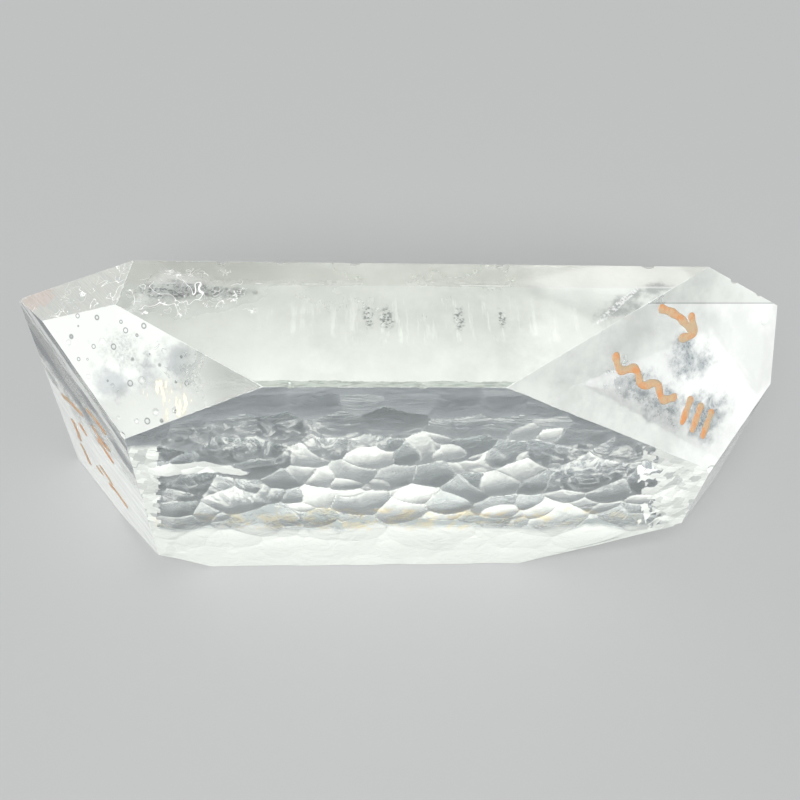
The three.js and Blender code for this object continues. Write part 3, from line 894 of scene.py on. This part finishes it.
class CobbleSettings(bpy.types.PropertyGroup):
    """The cobbled face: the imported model's rows of domes, steeper at the foot, with small hillocks."""
    left: setting("Left", "Where the rows start, mm", -74.0)
    right: setting("Right", "Where the rows end, mm", 86.0)
    bottom: setting("Bottom", "Height of the lowest row's foot, mm", -7.0)
    top: setting("Top", "Height of the top row's head, mm", 95.0)
    margin: setting("Margin", "How far the outermost domes run on, mm", 26.0)
    tile_rows: IntProperty(name="Tile rows", description="Flatter rows under the top edge", default=2)
    rows: IntProperty(name="Rows", description="How many rows of domes", default=10, min=1)
    tile_pitch: setting("Tile pitch", "Spacing along the tile rows, mm", 10.4)
    pitch: setting("Pitch", "Spacing along the other rows, mm", 11.8)
    wander: setting("Wander", "How far a dome's centre strays, mm", 2.8)
    radius: setting("Dome radius", "Radius of curvature of a dome, mm", 30.0)
    lean: setting("Lean", "Slope of a leaning dome, rise over run", 0.1)
    rise: setting("Rise", "How much dome heights differ, mm", 0.45)
    steepen: setting("Steepen", "How much steeper domes lean at the foot", 2.0)
    steep_top: setting("Steep top", "Height below which domes lean more, mm", 58.0)
    hillocks: IntProperty(name="Hillocks", description="How many small hillocks there are", default=290)
    hillock_crowd: setting("Crowding", "How much hillocks crowd to the foot", 1.35)
    hillock_lean: setting("Hillock lean", "Steepest slope of a hillock at the foot", 0.42)
    hillock_top: setting("Hillock top", "Height up to which hillocks grow, mm", 72.0)
    hillock_radius: setting("Hillock radius", "Radius of curvature, mm", 17.0)
    hillock_poke: setting("Hillock poke", "Most a hillock stands above the domes, mm", 0.38)
    swirl_tone: setting("Swirl tone", "How much the broad swirl scatters", 0.03)
    groove: setting("Groove", "Depth of the groove between forms, mm", 0.08)
    groove_width: setting("Groove width", "How nearly level the two forms are in it, mm", 0.1)
    border_width: setting("Border width", "The same, for the pale border along the groove, mm", 0.08)
    calm_reach: setting("Calm reach", "How far in from the rim the relief grows, mm", 9.0)
    calm_foot: setting("Calm foot", "The same, above the underside, mm", 38.0)
    calm_least: setting("Calm least", "Share of the relief left at the rim", 0.12)
    set_back: setting("Set back", "How much deeper the relief lies inside the rim, mm", 0.7)
    set_back_reach: setting("Set back reach", "How far in from the rim it gets there, mm", 20.0)


class LedgeSettings(bpy.types.PropertyGroup):
    """The level growth ledges on the end rhombs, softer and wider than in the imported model."""
    bottom: setting("Bottom", "Where the ledges start up the face, mm", -6.0)
    top: setting("Top", "Where the ledges end, mm", 96.0)
    pitch: setting("Pitch", "Longest spacing of ledges, mm", 4.8)
    rise: setting("Rise", "Deepest drop at a ledge, mm", 0.05)
    ease: setting("Ease", "How wide the drop at a ledge is, mm", 0.7)
    vary: setting("Vary", "How much ledges differ, as a share", 0.5)
    reach: setting("Reach", "Size of the block that cuts the face, mm", 400.0)


class InkSettings(bpy.types.PropertyGroup):
    """The pen line."""
    width: setting("Width", "Width of the pen line, mm", 2.0, min=0.1)
    thickness: setting("Thickness", "Thickness of the dried ink, mm", 0.12)
    lift: setting("Lift", "Air between the ink and the face, mm", 0.03)


class StudioSettings(bpy.types.PropertyGroup):
    """The floor, the light and the camera."""
    floor_colour: FloatVectorProperty(name="Floor", description="Colour of the floor", subtype="COLOR",
                                      size=3, default=colour("#9b9c9c")[:3])
    floor_gap: setting("Floor gap", "Air under the crystal, mm", 0.2)
    floor_reach: setting("Floor reach", "Half the floor's side, mm", 3000.0)
    light_power: setting("Light", "Strength of the sun, W/m2", 5.0, min=0)
    light_width: setting("Light width", "How broad the light is", math.radians(40), subtype="ANGLE")
    light_from: FloatVectorProperty(name="Light from", description="Where the light comes from",
                                    subtype="DIRECTION", default=(-0.15, -0.52, 0.82))
    room_colour: FloatVectorProperty(name="Room", description="Colour of the room at the horizon",
                                     subtype="COLOR", size=3, default=colour("#cccfce")[:3])
    overhead_colour: FloatVectorProperty(name="Overhead", description="Colour of the room overhead",
                                         subtype="COLOR", size=3, default=colour("#8d908e")[:3])
    horizon: setting("Horizon", "Where overhead begins, as the sine of its height", 0.35)
    lens: setting("Lens", "Focal length, mm", 44.8515)
    camera_place: FloatVectorProperty(name="Camera", description="Where the camera stands, mm",
                                      default=(-17.64, -136.29, 259.54))
    camera_right: FloatVectorProperty(name="Right", description="The camera's right, as a direction",
                                      default=(0.99766, -0.03688, 0.05764))
    camera_up: FloatVectorProperty(name="Up", description="The camera's up, as a direction",
                                   default=(-0.00162, 0.82935, 0.55873))


FINISHES = {
    "cobbled": ("cobbled_growth_face", cobbled_finish),
    "top_side": ("milky_top_side", top_finish),
    "bottom_side": ("ground_underside", ground_finish),
    "seed": ("polished_seed_face", polished_finish),
    "upper_left_rhomb": ("pitted_rhomb", pitted_finish),
    "upper_right_rhomb": ("mottled_rhomb", mottled_finish),
    "upper_left_prism": ("striated_prism_face", striated_finish),
    "left_rhomb": ("stepped_left_rhomb", stepped_finish),
    "right_rhomb": ("stepped_right_rhomb", stepped_finish),
    "lower_left_rhomb": ("small_left_face", side_finish),
    "lower_right_rhomb": ("small_right_face", side_finish),
    "right_prism": ("right_prism_face", side_finish),
    "left_prism": ("left_prism_face", side_finish),
}


# ---- operators ---------------------------------------------------------------


class QUARTZ_OT_crystal(bpy.types.Operator):
    """Builds the crystal with its cobbled, stepped and flat faces"""
    bl_idname = "quartz.crystal"
    bl_label = "Crystal"

    def execute(self, context):
        scene = context.scene
        piece = link("crystal_body", cobbled_block(scene.quartz_crystal, scene.quartz_cobbles))
        table = planes()
        for name in FACES:
            cut_flat(piece.data, *table[name])
        for name in STEPPED_FACES:
            combine(piece, ledge_block(name, scene.quartz_ledges), "INTERSECT")
        self.chip(piece)
        mesh = piece.data
        mesh.name = piece.name
        self.dress(mesh)
        self.tone(mesh, scene.quartz_cobbles)
        mesh.polygons.foreach_set("use_smooth", np.ones(len(mesh.polygons), bool))
        mesh.set_sharp_from_angle(angle=scene.quartz_crystal.smooth)
        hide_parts(NODE)
        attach(piece, "root")
        return {"FINISHED"}

    def chip(self, piece):
        """Bites the round pits out of one rhomb, and small shells out of the sharp edges."""
        normal, _ = planes()["upper_left_rhomb"]
        balls = []
        for x, z, radius in PITS:
            middle = on_plane("upper_left_rhomb", (x, z)) + normal * radius * PIT_SINK
            balls.append(ball(middle, radius, 1.0, 0.0))
        for index, (at, size) in enumerate(CHIPS):
            edge = Vector(at)
            away = edge - Vector((0, 0, TOP_DISTANCE / 2))
            away.x *= ENDWISE
            middle = edge + away.normalized() * size * CHIP_SINK
            balls.append(ball(middle, size, CHIP_STRETCH, chance(index + 500) * math.pi))
        combine(piece, joined_mesh("bites", balls), "DIFFERENCE")

    def tone(self, mesh, cobbles):
        """Stores for every point the tone of its cobble, and how near it is to a border between two."""
        x, _, z = triples(mesh.vertices, "co").astype(float).T / MM
        _, lead, owner = cobble_relief(x, z, cobbles)
        border = np.exp(-(lead / cobbles.border_width)**2)
        for name, values in (("tone", cobble_tones(owner, cobbles)), ("border", border), ("lead", lead)):
            layer = mesh.attributes.new(name, "FLOAT", "POINT")
            layer.data.foreach_set("value", values.astype(np.float32))

    def dress(self, mesh):
        """Gives every polygon the finish of the face plane that it lies nearest and most nearly along."""
        table = planes()
        mesh.materials.clear()
        for face, (name, finish) in FINISHES.items():
            mesh.materials.append(make_material(name, finish, face))
        normals, centres = triples(mesh.polygons, "normal"), triples(mesh.polygons, "center") / MM
        misfit = np.empty((len(normals), len(FINISHES)))
        for column, name in enumerate(FINISHES):
            normal, distance = table[name]
            normal = np.array(normal)
            misfit[:, column] = np.abs(distance - centres @ normal) + TURN_WEIGHT * (1 - normals @ normal)
        mesh.polygons.foreach_set("material_index", misfit.argmin(1).astype(np.int32))


class QUARTZ_OT_ink(bpy.types.Operator):
    """Draws the orange pen marks: an arrow, a ripple with three strokes, and short strokes"""
    bl_idname = "quartz.ink"
    bl_label = "Pen marks"

    def execute(self, context):
        ink = context.scene.quartz_ink
        material = make_material("orange_pen_ink", ink_finish, None)
        for name, (face, origin, heading, strokes) in INK_GROUPS.items():
            normal, _ = planes()[face]
            along = Vector(heading) - normal * normal.dot(Vector(heading))
            along.normalize()
            up = normal.cross(along)
            start = on_plane(face, origin) + normal * ink.lift
            beads = []
            for stroke in strokes:
                body, skin = flat_bead(smooth_path(np.array(stroke, float)), ink.width, ink.thickness)
                beads.append((np.array(start) + body @ np.array((along, up, normal)), skin))
            piece = link(name, joined_mesh(name, beads))
            piece.data.polygons.foreach_set("use_smooth", np.ones(len(piece.data.polygons), bool))
            piece.data.materials.append(material)
            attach(piece, "root")
        return {"FINISHED"}


class QUARTZ_OT_stage(bpy.types.Operator):
    """Sets the floor, the studio light and the camera"""
    bl_idname = "quartz.stage"
    bl_label = "Stage"

    def execute(self, context):
        studio = context.scene.quartz_studio
        self.floor(studio)
        self.light(studio)
        self.world(studio)
        self.camera(context.scene, studio)
        return {"FINISHED"}

    def floor(self, studio):
        """One large level sheet just under the crystal."""
        half, z = studio.floor_reach, -studio.floor_gap
        corners = [(-half, -half, z), (half, -half, z), (half, half, z), (-half, half, z)]
        floor = link("floor", new_mesh("floor", corners, [(0, 1, 2, 3)]))
        floor.data.materials.append(make_material("studio_paper", paper_finish, None))

    def light(self, studio):
        """One broad sun, as a large window gives, from above the front."""
        lamp = bpy.data.lights.new("soft_light", "SUN")
        lamp.angle = studio.light_width
        lamp.energy = studio.light_power
        lit = bpy.data.objects.new("soft_light", lamp)
        lit.rotation_euler = (-Vector(studio.light_from)).to_track_quat("-Z", "Y").to_euler()
        bpy.context.scene.collection.objects.link(lit)

    def world(self, studio):
        """A pale room: as bright as the floor at the horizon, dimmer overhead."""
        world = bpy.data.worlds.new("studio")
        world.use_nodes = True
        tree = world.node_tree
        place = add(tree, "TexCoord", out="Generated")
        overhead = beyond(place, ALONG_Z, 0.0, studio.horizon)
        low, high = (*studio.room_colour, 1), (*studio.overhead_colour, 1)
        room = add(tree, "Mix", {0: overhead, 6: low, 7: high}, 2, data_type="RGBA")
        tree.links.new(room, tree.nodes["Background"].inputs["Color"])
        bpy.context.scene.world = world
        bpy.context.scene.view_settings.view_transform = "Standard"

    def camera(self, scene, studio):
        """A plain camera from its place and its right and up directions."""
        data = bpy.data.cameras.new("camera")
        data.sensor_width = SENSOR
        data.lens = studio.lens
        data.clip_start = 0.01
        camera = bpy.data.objects.new("camera", data)
        right, up = Vector(studio.camera_right), Vector(studio.camera_up)
        turn = Matrix((right, up, right.cross(up))).transposed()
        camera.matrix_world = Matrix.Translation(Vector(studio.camera_place) * MM) @ turn.to_4x4()
        scene.collection.objects.link(camera)
        scene.camera = camera


class QUARTZ_PT_panel(bpy.types.Panel):
    """Lists the crystal's parts in the sidebar"""
    bl_idname = "QUARTZ_PT_panel"
    bl_label = "Grown quartz bar"
    bl_space_type = "VIEW_3D"
    bl_region_type = "UI"
    bl_category = "Quartz"

    def draw(self, context):
        for operator in OPERATORS:
            self.layout.operator(operator.bl_idname)


OPERATORS = (QUARTZ_OT_crystal, QUARTZ_OT_ink, QUARTZ_OT_stage)
SETTINGS = {
    "quartz_crystal": CrystalSettings,
    "quartz_cobbles": CobbleSettings,
    "quartz_ledges": LedgeSettings,
    "quartz_ink": InkSettings,
    "quartz_studio": StudioSettings,
}


def register():
    for name, group in SETTINGS.items():
        bpy.utils.register_class(group)
        setattr(bpy.types.Scene, name, PointerProperty(type=group))
    for operator in OPERATORS:
        bpy.utils.register_class(operator)
    bpy.utils.register_class(QUARTZ_PT_panel)


def unregister():
    bpy.utils.unregister_class(QUARTZ_PT_panel)
    for operator in reversed(OPERATORS):
        bpy.utils.unregister_class(operator)
    for name, group in reversed(SETTINGS.items()):
        delattr(bpy.types.Scene, name)
        bpy.utils.unregister_class(group)


def main():
    register()
    bpy.ops.quartz.crystal()
    bpy.ops.quartz.ink()
    bpy.ops.quartz.stage()


if __name__ == "__main__":
    main()
